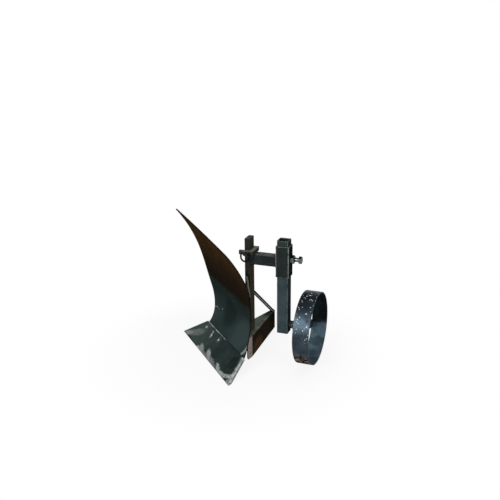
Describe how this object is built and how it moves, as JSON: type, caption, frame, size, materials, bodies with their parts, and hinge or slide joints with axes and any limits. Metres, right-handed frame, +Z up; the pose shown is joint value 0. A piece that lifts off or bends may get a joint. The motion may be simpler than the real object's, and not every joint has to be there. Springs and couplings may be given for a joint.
{
  "type": "mouldboard plough",
  "caption": "Small mouldboard plough body on an upright bar, with a side bracket that carries a height-adjustable gauge wheel held by a set bolt.",
  "frame": {"origin": "middle of the footprint's bounding box, on the ground that the share and the wheel stand on", "axes": "+X to the land side, where the wheel is; +Y to the rear; +Z up. The plough travels along -Y."},
  "size_m": [0.5218, 0.4064, 0.3566],
  "materials": {
    "share_steel": "dark, worn bright at the point and along the edges",
    "board_paint": "semi-gloss black",
    "frame_paint": "semi-gloss black",
    "landside_steel": "black with a brown cast",
    "bracket_paint": "dark grey, worn along the corners",
    "wheel_paint": "blue-black, chipped",
    "yoke_steel": "grey-black",
    "bolt_steel": "dark steel",
    "zinc": "bright zinc"
  },
  "bodies": {
    "frame": {"share": "share_steel", "share_bolts": "bolt_steel", "share_nuts": "bolt_steel", "mouldboard": "board_paint", "frog_seat": "frame_paint", "frog_base": "frame_paint", "frog_ribs": "frame_paint", "landside": "landside_steel", "stem": "frame_paint", "brace_rod": "frame_paint", "mouldboard_stay": "frame_paint", "beam_tube": "frame_paint", "sleeve_tube": "bracket_paint", "sleeve_nut": "zinc", "yoke_strap": "yoke_steel"},
    "leg": {"leg_tube": "bracket_paint", "axle_stud": "bolt_steel", "axle_nut": "bolt_steel", "thrust_washers": "bolt_steel", "split_pin": "zinc"},
    "wheel": {"wheel_hub": "wheel_paint", "wheel_spokes": "wheel_paint", "wheel_rim": "wheel_paint"},
    "set_bolt": {"set_bolt": "zinc"},
    "yoke_pin": {"yoke_pin": "bolt_steel"},
    "pull_ring": {"pull_ring": "bolt_steel"}
  },
  "joints": [
    {"name": "leg_height", "type": "slide", "parent": "frame", "child": "leg", "axis": [0, 0, 1], "range_m": [-0.04, 0.12]},
    {"name": "wheel_spin", "type": "hinge", "parent": "leg", "child": "wheel", "pos_m": [0.23844, 0.00733, 0.102], "axis": [1, 0, 0], "continuous": true},
    {"name": "set_bolt_travel", "type": "slide", "parent": "frame", "child": "set_bolt", "axis": [1, 0, 0], "range_m": [0, 0.006]},
    {"name": "pin_pull", "type": "slide", "parent": "frame", "child": "yoke_pin", "axis": [0, -1, 0], "range_m": [0, 0.06]},
    {"name": "ring_swing", "type": "hinge", "parent": "yoke_pin", "child": "pull_ring", "pos_m": [0.05904, -0.02667, 0.309], "axis": [1, 0, 0], "range_deg": [-110, 25]}
  ]
}
